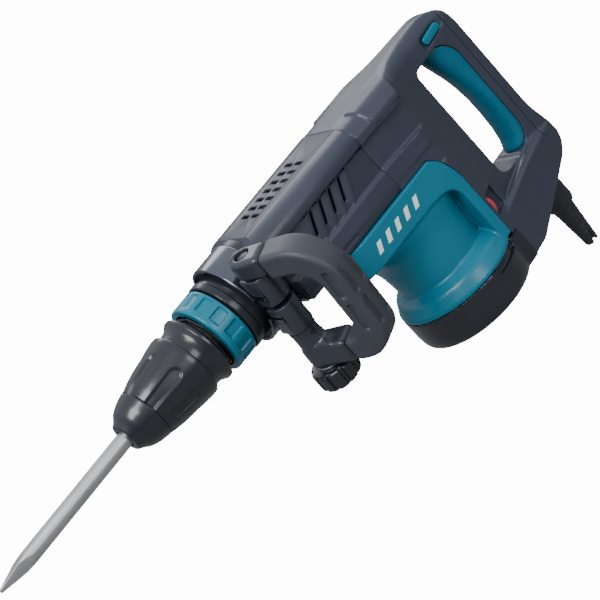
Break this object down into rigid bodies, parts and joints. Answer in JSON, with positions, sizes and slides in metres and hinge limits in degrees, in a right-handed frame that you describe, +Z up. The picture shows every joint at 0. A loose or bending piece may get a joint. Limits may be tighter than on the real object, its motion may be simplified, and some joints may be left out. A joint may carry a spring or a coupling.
{
  "type": "demolition hammer",
  "caption": "Electric demolition hammer with a bull point chisel, keyless tool holder, D-shaped rear handle, upright motor and a clamp-on D-shaped side handle.",
  "frame": {"origin": "centre of the flat underside of the motor end cap, on the motor axis", "axes": "+X along the hammer line from the chisel to the rear handle, +Y to the user's right when looking along the chisel from the rear handle, +Z up along the motor axis to the hammer line"},
  "size_m": [0.775, 0.2351, 0.3378],
  "materials": {
    "dark_plastic": "fine grained dark bluish-grey plastic",
    "black_plastic": "grained black plastic",
    "teal_plastic": "satin teal plastic",
    "teal_grip": "soft teal overmould",
    "black_rubber": "matt black rubber",
    "satin_steel": "satin machined steel",
    "dark_steel": "polished dark steel strip",
    "cast_metal": "plain cast or pressed metal",
    "copper": "enamelled copper",
    "graphite": "pressed carbon",
    "red_plastic": "satin red plastic"
  },
  "bodies": {
    "machine": {"barrel": "cast_metal", "cylinder": "satin_steel", "crank_housing": "cast_metal", "crank_bearing": "satin_steel", "upper_bearing": "satin_steel", "lower_bearing": "satin_steel", "stator_core": "cast_metal", "lower_field_winding": "copper", "upper_field_winding": "copper", "left_carbon_brush": "graphite", "left_brush_holder": "black_plastic", "right_carbon_brush": "graphite", "right_brush_holder": "black_plastic", "motor_housing": "teal_plastic", "end_cap": "black_plastic", "front_cover": "dark_plastic", "rear_housing": "dark_plastic", "handle_back_cover": "dark_plastic", "soft_grip": "teal_grip", "switch_body": "black_plastic", "speed_controller": "black_plastic", "cord_boot": "black_rubber", "cord_guard": "black_rubber"},
    "armature": {"armature_shaft": "satin_steel", "armature_core": "cast_metal", "lower_armature_winding": "copper", "upper_armature_winding": "copper", "commutator": "copper", "cooling_fan": "black_plastic"},
    "crank": {"crankshaft": "satin_steel", "crank_gear": "satin_steel"},
    "piston_set": {"piston": "cast_metal", "piston_ring": "black_rubber", "piston_pin": "satin_steel"},
    "rod": {"connecting_rod": "cast_metal"},
    "striker_set": {"striker": "satin_steel", "striker_ring": "black_rubber"},
    "impact": {"impact_bolt": "satin_steel"},
    "holder": {"tool_holder": "cast_metal", "nose_cap": "black_rubber", "neck_ring": "black_plastic", "upper_locking_roller": "satin_steel", "lower_locking_roller": "satin_steel", "release_spring": "cast_metal", "change_ring_spring": "cast_metal"},
    "chisel": {"bull_point": "satin_steel"},
    "sleeve": {"release_sleeve": "black_plastic"},
    "ring": {"change_ring": "teal_plastic"},
    "clamp": {"clamp_band": "dark_steel", "upper_clamp_half": "dark_plastic", "lower_clamp_half": "dark_plastic", "clamp_bolt": "dark_steel"},
    "side_grip": {"side_handle_frame": "dark_plastic", "side_handle_grip": "black_rubber"},
    "washer": {"clamp_washer": "satin_steel"},
    "knob": {"clamp_knob": "black_plastic"},
    "lever": {"switch_lever": "teal_plastic"},
    "dial": {"speed_dial": "red_plastic"}
  },
  "joints": [
    {"name": "armature_spin", "type": "hinge", "parent": "machine", "child": "armature", "pos_m": [0, 0, 0.1], "axis": [0, 0, 1], "continuous": true},
    {"name": "crank_spin", "type": "hinge", "parent": "machine", "child": "crank", "pos_m": [-0.045, 0, 0.19], "axis": [0, 0, 1], "continuous": true},
    {"name": "piston_slide", "type": "slide", "parent": "machine", "child": "piston_set", "axis": [1, 0, 0], "range_m": [0, 0.034]},
    {"name": "rod_swing", "type": "hinge", "parent": "piston_set", "child": "rod", "pos_m": [-0.137, 0, 0.216], "axis": [0, 0, 1], "range_deg": [-13, 13]},
    {"name": "striker_slide", "type": "slide", "parent": "machine", "child": "striker_set", "axis": [1, 0, 0], "range_m": [0, 0.024]},
    {"name": "impact_bolt_slide", "type": "slide", "parent": "machine", "child": "impact", "axis": [1, 0, 0], "range_m": [0, 0.008]},
    {"name": "tool_holder_turn", "type": "hinge", "parent": "machine", "child": "holder", "pos_m": [-0.3, 0, 0.216], "axis": [1, 0, 0], "continuous": true},
    {"name": "chisel_slide", "type": "slide", "parent": "holder", "child": "chisel", "axis": [1, 0, 0], "range_m": [-0.012, 0]},
    {"name": "release_sleeve_slide", "type": "slide", "parent": "holder", "child": "sleeve", "axis": [1, 0, 0], "range_m": [0, 0.007], "stiffness_N_per_m": 1500, "springref_m": -0.002, "deforming": ["release_spring"]},
    {"name": "change_ring_slide", "type": "slide", "parent": "holder", "child": "ring", "axis": [1, 0, 0], "range_m": [-0.006, 0], "stiffness_N_per_m": 1200, "springref_m": 0.002, "deforming": ["change_ring_spring"]},
    {"name": "side_handle_turn", "type": "hinge", "parent": "machine", "child": "clamp", "pos_m": [-0.188, 0, 0.216], "axis": [1, 0, 0], "continuous": true},
    {"name": "side_handle_swing", "type": "hinge", "parent": "clamp", "child": "side_grip", "pos_m": [-0.188, -0.05909, 0.20558], "axis": [0, -0.1736, 0.9848], "range_deg": [-90, 0]},
    {"name": "washer_slide", "type": "slide", "parent": "clamp", "child": "washer", "axis": [0, 0.1736, -0.9848], "range_m": [0, 0.0035]},
    {"name": "knob_turn", "type": "hinge", "parent": "washer", "child": "knob", "pos_m": [-0.188, -0.05909, 0.20558], "axis": [0, 0.1736, -0.9848], "range_deg": [0, 720]},
    {"name": "switch_lever_slide", "type": "slide", "parent": "machine", "child": "lever", "axis": [0, 1, 0], "range_m": [-0.006, 0]},
    {"name": "speed_dial_turn", "type": "hinge", "parent": "machine", "child": "dial", "pos_m": [0.0576, -0.0383, 0.08], "axis": [0.8571, 0.5151, 0], "range_deg": [-135, 135]}
  ],
  "couplings": [
    {"joint": "crank_spin", "follows": "armature_spin", "ratio": -0.16129},
    {"joint": "washer_slide", "follows": "knob_turn", "m_per_rad": 0.00027849}
  ]
}
